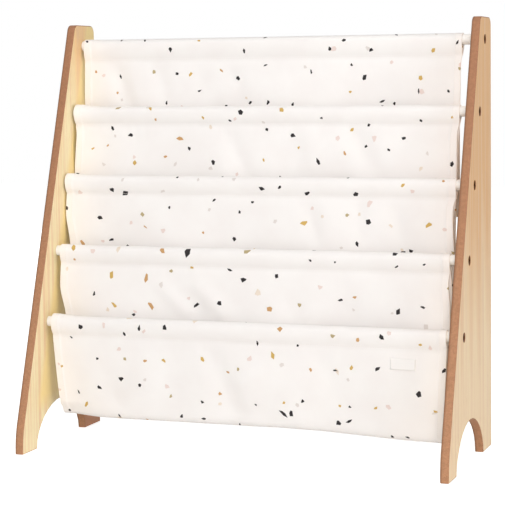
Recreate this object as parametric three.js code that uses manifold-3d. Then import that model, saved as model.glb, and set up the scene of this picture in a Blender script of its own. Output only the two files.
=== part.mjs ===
// Sling bookshelf for a child's room, in millimetres, +Z up, front towards -Y.
// Two side panels stand on their own feet. Five rods run between them, each held by a bolt through
// either panel into a threaded plug in the rod's end. One strip of canvas is sewn into five tunnels
// that slide over the rods, and hangs between them in four pockets for books.

import * as THREE from 'three';
import { mergeVertices } from 'three/addons/utils/BufferGeometryUtils.js';
import Module from 'manifold-3d';

const wasm = await Module();
wasm.setup();

// Driving dimensions
const rackWidth = 627;
const rackDepth = 262;
const rackHeight = 610;
const panelThickness = 12;
const rodDiameter = 15;
const rodCount = 5;
const seatGap = 0.3;

// Side panel: the front edge stands upright at the toe, then leans back to the top
const panelTopDepth = 67;
const toeHeight = 25;
const toeBendShare = 0.78;
const toeCornerRadius = 2;
const topCornerRadius = 12;
const panelEdgeRound = 1.2;
const frontFootLength = 45.5;
const rearFootLength = 54.5;
const archHeight = 61;
const archHandleShare = 0.5;

// Rods: equal steps in height, each at the same level distance behind the leaning edge
const topRodDrop = 31;
const lowestRodHeight = 179;
const rodInset = 38.7;
const rodWall = 1.2;

// Bolts, and the threaded plugs in the ends of the rods
const boltHeadDiameter = 13.4;
const boltHeadThickness = 2.1;
const boltHeadDome = 0.7;
const boltHeadRim = 0.5;
const boltShankDiameter = 6;
const boltLength = 30;
const boltTipChamfer = 0.8;
const boltSocketWidth = 4;
const boltSocketDepth = 1.6;
const boltSocketSides = 6;
const boltHeadSink = 0.2;
const plugLength = 24;
const plugChamfer = 0.6;

// Canvas sling
const clothThickness = 1.2;
const clothClearLeft = 3;
const clothClearRight = 18;
const clothShiftDown = 6;
const seamDrop = 20;
const pocketDrop = 139;
const pocketFoldRadius = 11;
const sagOnTheRight = 8;
const foldPitch = 235;
const backWallFold = 5;
const frontWallFold = 4;
const drawInOnTheLeft = 9;
const foldPhaseShare = 0.37;
const sagStartShare = 0.55;

// Sewn tag on the front wall of the lowest pocket
const tagWidth = 36;
const tagHeight = 15;
const tagThickness = 0.6;
const tagFromRightEdge = 43;
const tagBelowSeam = 15;

// Facets
const roundSteps = 16;
const rodSteps = 20;
const outlineSteps = 8;
const panelRoundSteps = 2;
const tunnelSteps = 10;
const backWallSteps = 10;
const foldSteps = 6;
const frontWallSteps = 7;
const acrossSteps = 12;
const tagSteps = 2;
const boltDomeSteps = 3;

const group = new THREE.Group();
const cutOverrun = 2 * panelThickness;

// Materials
const veneer = new THREE.MeshStandardMaterial({ color: '#e6c491', roughness: 0.5, metalness: 0 });
const whiteCoat = new THREE.MeshStandardMaterial({ color: '#f4f3f0', roughness: 0.35, metalness: 0 });
const canvas = new THREE.MeshStandardMaterial({ color: '#f8f2ec', roughness: 0.9, metalness: 0 });
const tagWeave = new THREE.MeshStandardMaterial({ color: '#fbfaf4', roughness: 0.85, metalness: 0 });
const bronze = new THREE.MeshStandardMaterial({ color: '#5a4330', roughness: 0.45, metalness: 1 });
const zinc = new THREE.MeshStandardMaterial({ color: '#b9babb', roughness: 0.4, metalness: 1 });

function addPiece(name, geometry, material) {
  const mesh = new THREE.Mesh(geometry, material);
  mesh.name = name;
  group.add(mesh);
  return mesh;
}

// Joining and cutting of closed solids
function toSolid(geometry) {
  const bare = geometry.clone();
  bare.deleteAttribute('normal');
  bare.deleteAttribute('uv');
  const merged = mergeVertices(bare);
  const mesh = new wasm.Mesh({
    numProp: 3,
    vertProperties: new Float32Array(merged.attributes.position.array),
    triVerts: new Uint32Array(merged.index.array),
  });
  return new wasm.Manifold(mesh);
}

function toGeometry(solid) {
  const mesh = solid.getMesh();
  const geometry = new THREE.BufferGeometry();
  geometry.setAttribute('position', new THREE.BufferAttribute(mesh.vertProperties, 3));
  geometry.setIndex(new THREE.BufferAttribute(mesh.triVerts, 1));
  geometry.computeVertexNormals();
  return geometry;
}

// Places worked out from the driving dimensions
const frontY = -rackDepth / 2;
const rearY = rackDepth / 2;
const outerX = rackWidth / 2;
const innerX = outerX - panelThickness;
const topFrontY = rearY - panelTopDepth;
const frontLean = (topFrontY - frontY) / (rackHeight - toeHeight);

function frontEdgeY(height) {
  return frontY + (height - toeHeight) * frontLean;
}

const topRodHeight = rackHeight - topRodDrop;
const rodPitch = (topRodHeight - lowestRodHeight) / (rodCount - 1);
const rods = [];
for (let i = 0; i < rodCount; i += 1) {
  const height = topRodHeight - i * rodPitch;
  rods.push(new THREE.Vector2(frontEdgeY(height) + rodInset, height));
}

// Side panel outline, drawn with the panel's Y across and its Z up
function roundedCorner(path, before, corner, after, radius) {
  const toBefore = before.clone().sub(corner).normalize();
  const toAfter = after.clone().sub(corner).normalize();
  const halfAngle = Math.acos(toBefore.dot(toAfter)) / 2;
  const reach = radius / Math.tan(halfAngle);
  const start = corner.clone().addScaledVector(toBefore, reach);
  const end = corner.clone().addScaledVector(toAfter, reach);
  const middle = toBefore.clone().add(toAfter).normalize();
  const centre = corner.clone().addScaledVector(middle, radius / Math.sin(halfAngle));
  const startAngle = start.clone().sub(centre).angle();
  const endAngle = end.clone().sub(centre).angle();
  const clockwise = toBefore.cross(toAfter) > 0;
  path.lineTo(start.x, start.y);
  path.absarc(centre.x, centre.y, radius, startAngle, endAngle, clockwise);
}

function panelOutline() {
  const toe = new THREE.Vector2(frontY, 0);
  const bend = new THREE.Vector2(frontY, toeHeight);
  const topFront = new THREE.Vector2(topFrontY, rackHeight);
  const topRear = new THREE.Vector2(rearY, rackHeight);
  const heel = new THREE.Vector2(rearY, 0);
  const archRear = new THREE.Vector2(rearY - rearFootLength, 0);
  const archFront = new THREE.Vector2(frontY + frontFootLength, 0);
  const crown = new THREE.Vector2((archFront.x + archRear.x) / 2, archHeight);
  const toeBendRadius = toeBendShare * toeHeight / Math.tan(Math.atan(frontLean) / 2);
  const archReach = (archRear.x - archFront.x) / 2 * archHandleShare;
  const archRise = archHeight * archHandleShare;
  const outline = new THREE.Shape();
  outline.moveTo(archFront.x, archFront.y);
  outline.bezierCurveTo(archFront.x, archRise, crown.x - archReach, crown.y, crown.x, crown.y);
  outline.bezierCurveTo(crown.x + archReach, crown.y, archRear.x, archRise, archRear.x, archRear.y);
  roundedCorner(outline, archRear, heel, topRear, toeCornerRadius);
  roundedCorner(outline, heel, topRear, topFront, topCornerRadius);
  roundedCorner(outline, topRear, topFront, bend, topCornerRadius);
  roundedCorner(outline, topFront, bend, toe, toeBendRadius);
  roundedCorner(outline, bend, toe, archFront, toeCornerRadius);
  outline.closePath();
  return outline;
}

// Bolt hole: a sink for the head in the outer face, and a clear hole through the rest
const shankHoleRadius = boltShankDiameter / 2 + seatGap;
const headSinkRadius = boltHeadDiameter / 2 + seatGap;
const headSinkDepth = boltHeadSink + boltHeadDome + boltHeadThickness + seatGap;

function boltHoleCutter() {
  const profile = [
    new THREE.Vector2(0, -cutOverrun),
    new THREE.Vector2(headSinkRadius, -cutOverrun),
    new THREE.Vector2(headSinkRadius, headSinkDepth),
    new THREE.Vector2(shankHoleRadius, headSinkDepth),
    new THREE.Vector2(shankHoleRadius, panelThickness + cutOverrun),
    new THREE.Vector2(0, panelThickness + cutOverrun),
  ];
  return new THREE.LatheGeometry(profile, roundSteps);
}

// Turned pieces are drawn along +Y from the panel's outer face, then laid along X
function layAlongX(geometry, side, rod) {
  geometry.rotateZ(side * Math.PI / 2);
  geometry.translate(side * outerX, rod.x, rod.y);
  return geometry;
}

function sidePanel(side) {
  const geometry = new THREE.ExtrudeGeometry(panelOutline(), {
    depth: panelThickness - 2 * panelEdgeRound,
    curveSegments: outlineSteps,
    bevelThickness: panelEdgeRound,
    bevelSize: panelEdgeRound,
    bevelOffset: -panelEdgeRound,
    bevelSegments: panelRoundSteps,
  });
  const across = new THREE.Vector3(0, 1, 0);
  const up = new THREE.Vector3(0, 0, 1);
  const outward = new THREE.Vector3(1, 0, 0);
  geometry.translate(0, 0, panelEdgeRound - panelThickness / 2);
  geometry.applyMatrix4(new THREE.Matrix4().makeBasis(across, up, outward));
  geometry.translate(side * (outerX - panelThickness / 2), 0, 0);
  let solid = toSolid(geometry);
  for (const rod of rods) {
    solid = solid.subtract(toSolid(layAlongX(boltHoleCutter(), side, rod)));
  }
  return toGeometry(solid);
}

// Rod: a tube from panel to panel
const rodRadius = rodDiameter / 2;
const rodBore = rodRadius - rodWall;
const rodHalfLength = innerX - seatGap;

function rodTube(rod) {
  const profile = [
    new THREE.Vector2(rodBore, -rodHalfLength),
    new THREE.Vector2(rodRadius, -rodHalfLength),
    new THREE.Vector2(rodRadius, rodHalfLength),
    new THREE.Vector2(rodBore, rodHalfLength),
    new THREE.Vector2(rodBore, -rodHalfLength),
  ];
  const geometry = new THREE.LatheGeometry(profile, rodSteps);
  geometry.rotateZ(Math.PI / 2);
  geometry.translate(0, rod.x, rod.y);
  return geometry;
}

// Threaded plug, seated in the end of a rod flush with the tube's end
function threadedPlug(side, rod) {
  const start = panelThickness + seatGap;
  const end = start + plugLength;
  const outer = rodBore - seatGap;
  const bore = boltShankDiameter / 2 + seatGap;
  const profile = [
    new THREE.Vector2(bore + plugChamfer, start),
    new THREE.Vector2(outer - plugChamfer, start),
    new THREE.Vector2(outer, start + plugChamfer),
    new THREE.Vector2(outer, end),
    new THREE.Vector2(bore, end),
    new THREE.Vector2(bore, start + plugChamfer),
    new THREE.Vector2(bore + plugChamfer, start),
  ];
  return layAlongX(new THREE.LatheGeometry(profile, roundSteps), side, rod);
}

// Bolt: a low domed head with a hexagonal socket, sunk just below the panel's face
function bolt(side, rod) {
  const headRadius = boltHeadDiameter / 2;
  const shankRadius = boltShankDiameter / 2;
  const crown = boltHeadSink;
  const shoulder = crown + boltHeadDome;
  const under = shoulder + boltHeadThickness;
  const tip = under + boltLength;
  const dome = new THREE.QuadraticBezierCurve(
    new THREE.Vector2(0, crown),
    new THREE.Vector2(headRadius - boltHeadRim, crown),
    new THREE.Vector2(headRadius, shoulder),
  );
  const profile = [
    ...dome.getPoints(boltDomeSteps),
    new THREE.Vector2(headRadius, under),
    new THREE.Vector2(shankRadius, under),
    new THREE.Vector2(shankRadius, tip - boltTipChamfer),
    new THREE.Vector2(shankRadius - boltTipChamfer, tip),
    new THREE.Vector2(0, tip),
  ];
  const head = toSolid(new THREE.LatheGeometry(profile, roundSteps));
  const socketRadius = boltSocketWidth / Math.sqrt(3);
  const socketHeight = 2 * (boltSocketDepth + crown);
  const sides = boltSocketSides;
  const socket = new THREE.CylinderGeometry(socketRadius, socketRadius, socketHeight, sides);
  return layAlongX(toGeometry(head.subtract(toSolid(socket))), side, rod);
}

// Canvas sling: one strip sewn into tunnels, drawn in lengths that meet at the seams behind the rods
const clothWidth = 2 * innerX - clothClearLeft - clothClearRight;
const clothMiddle = (clothClearLeft - clothClearRight) / 2;
const clothOverRod = rodRadius + seatGap + clothThickness / 2;
const layerOffset = (clothThickness + seatGap) / 2;

// Where a straight run of cloth from a point leaves a round of a given radius
function touchAngle(centre, radius, from, turn) {
  const reach = from.clone().sub(centre);
  return reach.angle() + turn * Math.acos(radius / reach.length());
}

function onRound(centre, radius, angle) {
  return new THREE.Vector2(Math.cos(angle), Math.sin(angle)).multiplyScalar(radius).add(centre);
}

// Tunnel section: up behind the rod from the seam, over it, and down in front to the seam
function tunnelPath(rod) {
  const rearSeam = new THREE.Vector2(rod.x + layerOffset, rod.y - seamDrop);
  const frontSeam = new THREE.Vector2(rod.x - layerOffset, rod.y - seamDrop);
  const rearTouch = touchAngle(rod, clothOverRod, rearSeam, 1) - 2 * Math.PI;
  const frontTouch = Math.PI - rearTouch;
  const path = [rearSeam];
  for (let i = 0; i <= tunnelSteps; i += 1) {
    path.push(onRound(rod, clothOverRod, rearTouch + (frontTouch - rearTouch) * i / tunnelSteps));
  }
  path.push(frontSeam);
  return path;
}

// Share of the full fold depth at a place across the cloth, never below nothing
function foldShare(across, pocket) {
  const turns = across * clothWidth / foldPitch + pocket * foldPhaseShare;
  return (1 - Math.cos(2 * Math.PI * turns)) / 2;
}

function sagShare(across) {
  return THREE.MathUtils.smoothstep(across, sagStartShare, 1);
}

// One column of a pocket's cloth: points as width, depth and height, from seam to seam
function pocketColumn(pocket, across) {
  const upper = rods[pocket];
  const lower = rods[pocket + 1];
  const isLast = pocket === rodCount - 2;
  const tunnel = tunnelPath(upper);
  const start = tunnel[tunnel.length - 1];
  const endSide = isLast ? -1 : 1;
  const endClear = isLast ? 0 : seatGap;
  const end = new THREE.Vector2(lower.x + endSide * layerOffset, lower.y - seamDrop - endClear);
  const drop = pocketDrop + sagOnTheRight * sagShare(across);
  const centre = new THREE.Vector2((start.x + end.x) / 2, lower.y - drop + pocketFoldRadius);
  const backTouch = touchAngle(centre, pocketFoldRadius, start, -1);
  const frontTouch = touchAngle(centre, pocketFoldRadius, end, 1) - 2 * Math.PI;
  const backEnd = onRound(centre, pocketFoldRadius, backTouch);
  const frontStart = onRound(centre, pocketFoldRadius, frontTouch);
  const folds = foldShare(across, pocket);
  const column = [];
  const addPoint = (point, loopShare, drawShare) => {
    column.push({ point, loopShare, drawShare });
  };
  for (const point of tunnel) {
    addPoint(point, 0, 0);
  }
  for (let i = 1; i <= backWallSteps; i += 1) {
    const share = i / backWallSteps;
    const point = start.clone().lerp(backEnd, share);
    point.x -= backWallFold * folds * Math.sin(Math.PI * share) ** 2;
    addPoint(point, share / 2, Math.sin(Math.PI * share / 2));
  }
  for (let i = 1; i < foldSteps; i += 1) {
    const angle = backTouch + (frontTouch - backTouch) * i / foldSteps;
    addPoint(onRound(centre, pocketFoldRadius, angle), 1 / 2, 1);
  }
  for (let i = 0; i <= frontWallSteps; i += 1) {
    const share = i / frontWallSteps;
    const point = frontStart.clone().lerp(end, share);
    point.x += endSide * frontWallFold * folds * Math.sin(Math.PI * share) ** 2;
    addPoint(point, (1 + share) / 2, Math.cos(Math.PI * share / 2));
  }
  if (isLast) {
    for (const point of tunnelPath(lower).reverse().slice(1)) {
      addPoint(point, 1, 0);
    }
  }
  return column.map(({ point, loopShare, drawShare }) => {
    const middle = clothMiddle + clothShiftDown * (pocket + loopShare) / (rodCount - 1);
    const drawIn = drawInOnTheLeft * drawShare * (1 - across) ** 2;
    return new THREE.Vector3(middle + (across - 1 / 2) * clothWidth + drawIn, point.x, point.y);
  });
}

// Closed sheet: a grid of columns, thickened to either side along its own normals
function sheetSolid(columns, thickness) {
  const columnCount = columns.length;
  const rowCount = columns[0].length;
  const positions = [];
  for (const side of [1, -1]) {
    for (let c = 0; c < columnCount; c += 1) {
      for (let r = 0; r < rowCount; r += 1) {
        const offset = gridNormal(columns, c, r).multiplyScalar(side * thickness / 2);
        positions.push(...columns[c][r].clone().add(offset));
      }
    }
  }
  const faces = [];
  const addQuad = (a, b, c, d) => {
    faces.push(a, b, c, a, c, d);
  };
  const at = (side, c, r) => (side * columnCount + c) * rowCount + r;
  for (let c = 0; c + 1 < columnCount; c += 1) {
    for (let r = 0; r + 1 < rowCount; r += 1) {
      addQuad(at(0, c, r), at(0, c + 1, r), at(0, c + 1, r + 1), at(0, c, r + 1));
      addQuad(at(1, c, r), at(1, c, r + 1), at(1, c + 1, r + 1), at(1, c + 1, r));
    }
  }
  for (let c = 0; c + 1 < columnCount; c += 1) {
    const lastRow = rowCount - 1;
    addQuad(at(0, c, 0), at(1, c, 0), at(1, c + 1, 0), at(0, c + 1, 0));
    addQuad(at(0, c, lastRow), at(0, c + 1, lastRow), at(1, c + 1, lastRow), at(1, c, lastRow));
  }
  for (let r = 0; r + 1 < rowCount; r += 1) {
    const lastColumn = columnCount - 1;
    addQuad(at(0, 0, r), at(0, 0, r + 1), at(1, 0, r + 1), at(1, 0, r));
    addQuad(at(0, lastColumn, r), at(1, lastColumn, r), at(1, lastColumn, r + 1), at(0, lastColumn, r + 1));
  }
  const geometry = new THREE.BufferGeometry();
  geometry.setAttribute('position', new THREE.Float32BufferAttribute(positions, 3));
  geometry.setIndex(faces);
  geometry.computeVertexNormals();
  return geometry;
}

function gridNormal(columns, c, r) {
  const left = columns[Math.max(c - 1, 0)][r];
  const right = columns[Math.min(c + 1, columns.length - 1)][r];
  const before = columns[c][Math.max(r - 1, 0)];
  const after = columns[c][Math.min(r + 1, columns[c].length - 1)];
  const across = right.clone().sub(left);
  const along = after.clone().sub(before);
  return across.cross(along).normalize();
}

// Tag: sewn flat on the front wall of the lowest pocket, measured from the cloth's right edge
function tagColumns(columns) {
  const wallStart = tunnelSteps + 2 + backWallSteps + foldSteps;
  const seamRow = wallStart + frontWallSteps;
  const columnWidth = clothWidth / acrossSteps;
  const rowHeight = columns[acrossSteps][seamRow].distanceTo(columns[acrossSteps][seamRow - 1]);
  const clear = clothThickness / 2 + seatGap + tagThickness / 2;
  const result = [];
  for (let i = 0; i <= tagSteps; i += 1) {
    const fromRight = tagFromRightEdge + tagWidth * (1 - i / tagSteps);
    const column = [];
    for (let j = 0; j <= tagSteps; j += 1) {
      const below = tagBelowSeam + tagHeight * (1 - j / tagSteps);
      const columnPlace = acrossSteps - fromRight / columnWidth;
      column.push(overGrid(columns, columnPlace, seamRow - below / rowHeight, clear));
    }
    result.push(column);
  }
  return result;
}

// A point a set distance in front of a sheet, at a place given in columns and rows
function overGrid(columns, columnPlace, rowPlace, distance) {
  const c = Math.floor(columnPlace);
  const r = Math.floor(rowPlace);
  const low = columns[c][r].clone().lerp(columns[c + 1][r], columnPlace - c);
  const high = columns[c][r + 1].clone().lerp(columns[c + 1][r + 1], columnPlace - c);
  const across = columns[c + 1][r].clone().sub(columns[c][r]);
  const along = columns[c][r + 1].clone().sub(columns[c][r]);
  const outward = across.cross(along).normalize();
  return low.lerp(high, rowPlace - r).addScaledVector(outward, distance);
}

// Assembly
addPiece('left_side_panel', sidePanel(-1), veneer);
addPiece('right_side_panel', sidePanel(1), veneer);
rods.forEach((rod, i) => {
  const number = i + 1;
  addPiece(`rod_${number}`, rodTube(rod), whiteCoat);
  for (const [place, side] of [['left', -1], ['right', 1]]) {
    addPiece(`${place}_rod_plug_${number}`, threadedPlug(side, rod), zinc);
    addPiece(`${place}_bolt_${number}`, bolt(side, rod), bronze);
  }
});
for (let pocket = 0; pocket < rodCount - 1; pocket += 1) {
  const columns = [];
  for (let i = 0; i <= acrossSteps; i += 1) {
    columns.push(pocketColumn(pocket, i / acrossSteps));
  }
  addPiece(`sling_pocket_${pocket + 1}`, sheetSolid(columns, clothThickness), canvas);
  if (pocket === rodCount - 2) {
    addPiece('sewn_tag', sheetSolid(tagColumns(columns), tagThickness), tagWeave);
  }
}

export default group;
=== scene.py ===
# %% [markdown]
# # A child's sling bookshelf
# Two boards stand on their own feet, five white rods run between them, and a strip of printed
# canvas is sewn into sleeves that slide over the rods. Between the rods it hangs in four pockets.
# The boards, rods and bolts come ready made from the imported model, which is the fixed frame here.
# This lesson gives them their real surfaces, and makes anew what a stiff solid can't show: the
# canvas with its hems, seams and stitches.

# %% Load the frame
import bpy
import math
import numpy as np
from mathutils import Matrix, Vector


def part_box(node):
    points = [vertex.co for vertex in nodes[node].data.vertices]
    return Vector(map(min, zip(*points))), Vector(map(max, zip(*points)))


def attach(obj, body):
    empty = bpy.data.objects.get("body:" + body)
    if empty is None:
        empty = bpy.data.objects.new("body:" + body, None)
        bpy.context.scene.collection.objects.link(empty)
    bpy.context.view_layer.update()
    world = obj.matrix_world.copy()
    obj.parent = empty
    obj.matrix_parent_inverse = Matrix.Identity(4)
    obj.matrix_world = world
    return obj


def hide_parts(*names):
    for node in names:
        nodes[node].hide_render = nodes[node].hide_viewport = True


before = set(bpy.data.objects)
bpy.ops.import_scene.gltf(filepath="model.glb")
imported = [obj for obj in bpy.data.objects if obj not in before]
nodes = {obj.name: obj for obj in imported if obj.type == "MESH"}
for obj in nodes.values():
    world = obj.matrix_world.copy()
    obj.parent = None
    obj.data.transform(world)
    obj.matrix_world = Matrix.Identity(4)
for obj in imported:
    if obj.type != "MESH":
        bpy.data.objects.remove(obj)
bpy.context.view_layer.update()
MM = 0.001

# %% [markdown]
# ## The photographer's place
# The photograph was taken from the front right, a little above the middle, through a long lens. A
# camera was fitted to the corners and edges of both boards, and its place is written here in
# millimetres and degrees. The focal length is in pixels of a 505 pixel frame, so it is turned into
# millimetres on a 36 mm sensor. The picture is cropped below its middle, which the lens shift gives.

# %% Camera
CAMERA_AT = (844.3, -2345.6, 525.5)
CAMERA_YAW, CAMERA_PITCH, CAMERA_ROLL = 19.792, 3.879, 0.605
FOCAL_PIXELS, FRAME_PIXELS, SENSOR = 1770.5, 505, 36
FRAME_SHIFT = -0.104  # as a share of the frame

scene = bpy.context.scene
lens = bpy.data.cameras.new("camera")
lens.sensor_width = SENSOR
lens.lens = FOCAL_PIXELS * SENSOR / FRAME_PIXELS
lens.shift_y = FRAME_SHIFT
lens.clip_start, lens.clip_end = 0.05, 50
camera = bpy.data.objects.new("camera", lens)
yaw, pitch, roll = (math.radians(a) for a in (CAMERA_YAW, CAMERA_PITCH, CAMERA_ROLL))
ahead = Vector((-math.sin(yaw) * math.cos(pitch), math.cos(yaw) * math.cos(pitch), -math.sin(pitch)))
level = Vector((math.cos(yaw), math.sin(yaw), 0))
below = ahead.cross(level)
right = level * math.cos(roll) + below * math.sin(roll)
up = level * math.sin(roll) - below * math.cos(roll)
facing = Matrix((right, up, -ahead)).transposed().to_4x4()
camera.matrix_world = Matrix.Translation(Vector(CAMERA_AT) * MM) @ facing
scene.collection.objects.link(camera)
scene.camera = camera
bpy.context.scene.view_settings.view_transform = "Standard"
print("camera: lens", round(lens.lens, 1), "mm")

# %% [markdown]
# ## Colours and nodes
# A colour picked on a screen is an sRGB value, and Blender's shaders want linear light, so one
# function turns the hex value over. Every shader below is built with one that adds a node.

# %% Helpers for materials
def linear(hex_colour):
    values = [int(hex_colour[i:i + 2], 16) / 255 for i in (1, 3, 5)]
    return (*[v / 12.92 if v <= 0.04045 else ((v + 0.055) / 1.055) ** 2.4 for v in values], 1)


def add(tree, kind, inputs=None, stops=None, **options):
    """Adds one node. Nodes and sockets among the inputs are linked, and other values are set."""
    made = tree.nodes.new(kind)
    for name, value in options.items():
        setattr(made, name, value)
    for key, value in (inputs or {}).items():
        if isinstance(value, bpy.types.Node):
            value = next(socket for socket in value.outputs if socket.enabled)
        if isinstance(value, bpy.types.NodeSocket):
            tree.links.new(value, made.inputs[key])
        else:
            made.inputs[key].default_value = value
    for number, (position, colour) in enumerate(stops or []):
        elements = made.color_ramp.elements
        element = elements[number] if number < len(elements) else elements.new(position)
        element.position, element.color = position, colour
    return made


def new_material(name):
    """An empty material and its node tree."""
    material = bpy.data.materials.new(name)
    material.use_nodes = True
    material.node_tree.nodes.clear()
    return material, material.node_tree


def dress(names, material):
    """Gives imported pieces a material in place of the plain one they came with."""
    for name in names:
        nodes[name].data.materials.clear()
        nodes[name].data.materials.append(material)
    print(material.name, "on", len(names), "pieces")


print("mid grey in linear light:", round(linear("#808080")[0], 3))

# %% [markdown]
# ## Rounding what the model drew in facets
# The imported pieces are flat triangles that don't share corners, so a rod would shine like a pencil.
# Geometry nodes join the corners and shade across every edge that turns by less than a set angle.
# Nothing moves: only the shading is smoothed.

# %% Smooth shading by angle
SHARP_ANGLE = math.radians(50)
JOIN_WITHIN = 0.01 * MM

smoothing = bpy.data.node_groups.new("smooth_by_angle", "GeometryNodeTree")
for way in ("INPUT", "OUTPUT"):
    smoothing.interface.new_socket("Geometry", in_out=way, socket_type="NodeSocketGeometry")
start = add(smoothing, "NodeGroupInput")
joined = add(smoothing, "GeometryNodeMergeByDistance",
             {"Geometry": start.outputs[0], "Distance": JOIN_WITHIN})
plain = add(smoothing, "GeometryNodeRemoveAttribute",
            {"Geometry": joined.outputs[0], "Name": "custom_normal"})
faces = add(smoothing, "GeometryNodeSetShadeSmooth", {"Geometry": plain.outputs[0]}, domain="FACE")
angle = add(smoothing, "GeometryNodeInputMeshEdgeAngle")
sharp = add(smoothing, "FunctionNodeCompare", {0: angle.outputs["Unsigned Angle"], 1: SHARP_ANGLE},
            data_type="FLOAT", operation="GREATER_THAN")
edges = add(smoothing, "GeometryNodeSetShadeSmooth",
            {"Geometry": faces.outputs[0], "Selection": sharp.outputs[0], "Shade Smooth": False},
            domain="EDGE")
add(smoothing, "NodeGroupOutput", {0: edges.outputs[0]})
for name, piece in nodes.items():
    if not name.startswith(("sling", "sewn")):
        piece.modifiers.new("smooth", "NODES").node_group = smoothing
        evened = piece.modifiers.new("even", "WEIGHTED_NORMAL")
        evened.keep_sharp = True
        evened.weight = 100
print("smoothed the boards, rods, plugs and bolts")

# %% [markdown]
# ## Boards: maple veneer on fibreboard
# The boards are 12 mm medium-density fibreboard. Their two faces carry a sliced maple veneer,
# sanded and sprayed with a satin clear lacquer. It is pale, with straight vertical grain a few
# millimetres wide and fine short pores, and the lacquer gives it a soft sheen with no clear
# reflection. An image of wood would be the quick way, but noise stretched along the grain has no
# seams and no fixed size. The leaf is painted deeper towards the top and paler low down: painted
# light, for the light the floor throws up. The right board's leaf is warmer than the left's, and
# painted deeper, partly as painted shade on the face that looks past the lamps. The left board's
# inner face is painted golden behind the rods, as painted warm shade beside the cloth, and brown
# at its lower rear corner, as painted shade under the hanging cloth.

# %% Veneer: grain of three sizes
GRAIN = {  # width across, length along, detail, roughness
    "broad": (34 * MM, 900 * MM, 2, 0.5),
    "streaks": (8 * MM, 450 * MM, 4, 0.6),
    "pores": (0.7 * MM, 14 * MM, 3, 0.5),  # real pores are half as wide, drawn coarser so as to show
}
veneer, tree = new_material("maple_veneer_on_fibreboard")
place = add(tree, "ShaderNodeTexCoord").outputs["Object"]
grain = {}
for name, (wide, long, detail, rough) in GRAIN.items():
    fitted = add(tree, "ShaderNodeMapping", {"Vector": place, "Scale": (1 / wide, 1 / wide, 1 / long)})
    grain[name] = add(tree, "ShaderNodeTexNoise",
                      {"Vector": fitted, "Scale": 1, "Detail": detail, "Roughness": rough})
print("grain:", ", ".join(grain))

# %% Veneer: the two leaves
BLACK = (0, 0, 0, 1)
left_low, left_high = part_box("left_side_panel")
# Painted light: each leaf is painted paler low down and deeper higher up, for the light the floor throws up.
# The right board's leaf is a warmer leaf, also painted deeper as painted shade on the face that looks past
# the lamps.
LEAVES = [  # heights between which a leaf deepens, and its tones below and above
    (400 * MM, left_high.z, linear("#FDEBBC"), linear("#FBD092")),
    (100 * MM, 400 * MM, linear("#FEDFAE"), linear("#EBB169")),
]
DEEPENS_BY = 0.35
STREAK_PINK = linear("#F0C596")
axes = add(tree, "ShaderNodeSeparateXYZ", {0: place})
leaves = []
for from_z, to_z, low_tone, high_tone in LEAVES:
    height = add(tree, "ShaderNodeMapRange", {"Value": axes.outputs["Z"], "From Min": from_z,
                                              "From Max": to_z, "To Min": -DEEPENS_BY, "To Max": DEEPENS_BY})
    tone = add(tree, "ShaderNodeMath", {0: height, 1: grain["broad"]}, operation="ADD")
    leaves.append(add(tree, "ShaderNodeValToRGB", {"Fac": tone}, [(0.25, low_tone), (0.75, high_tone)]))
is_right = add(tree, "ShaderNodeMath", {0: axes.outputs["X"], 1: 0}, operation="GREATER_THAN")
leaf = add(tree, "ShaderNodeMix", {0: is_right, 6: leaves[0], 7: leaves[1]}, data_type="RGBA")
streaked = add(tree, "ShaderNodeValToRGB", {"Fac": grain["streaks"]},
               [(0.46, BLACK), (0.66, (0.75, 0.75, 0.75, 1))])
with_streaks = add(tree, "ShaderNodeMix", {0: streaked, 6: leaf, 7: STREAK_PINK}, data_type="RGBA")
print("leaves:", len(leaves))

# %% Veneer: painted shade on the left board's inner face
# Painted shade: behind the line of the rods the inner face is painted golden, for the warm shade beside the
# cloth.
REAR_PAINTED_WARM_SHADE, FOOT_PAINTED_SHADE_BROWN = linear("#FFE29C"), linear("#C27A40")
REAR_FADE = (-7 * MM, 9 * MM)  # across the line of the rods
ABOVE_FOOT_FADE = (50 * MM, 75 * MM)  # in height
CORNER_FADE = (60 * MM, 150 * MM)  # away from the lower rear corner
top_rod, lowest_rod = ((low + high) / 2 for low, high in (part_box("rod_1"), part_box("rod_5")))
lean = (top_rod.y - lowest_rod.y) / (top_rod.z - lowest_rod.z)
rod_line = lowest_rod.y - lean * lowest_rod.z
half_thick = (left_high.x - left_low.x) / 2
inner_side = add(tree, "ShaderNodeMath", {0: axes.outputs["X"], 1: left_high.x, 2: half_thick},
                 operation="COMPARE")
off_rods = add(tree, "ShaderNodeVectorMath", {0: place, 1: (0, 1, -lean)}, operation="DOT_PRODUCT")
rear_shade_mask = add(tree, "ShaderNodeMapRange",
              {"Value": off_rods.outputs["Value"], "From Min": rod_line + REAR_FADE[0],
               "From Max": rod_line + REAR_FADE[1]}, interpolation_type="SMOOTHSTEP")
above_foot = add(tree, "ShaderNodeMapRange", {"Value": axes.outputs["Z"], "From Min": ABOVE_FOOT_FADE[0],
                                              "From Max": ABOVE_FOOT_FADE[1]})
for limit in (inner_side, above_foot):
    rear_shade_mask = add(tree, "ShaderNodeMath", {0: rear_shade_mask, 1: limit}, operation="MULTIPLY")
with_rear = add(tree, "ShaderNodeMix", {0: rear_shade_mask, 6: with_streaks, 7: REAR_PAINTED_WARM_SHADE}, data_type="RGBA")
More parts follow.
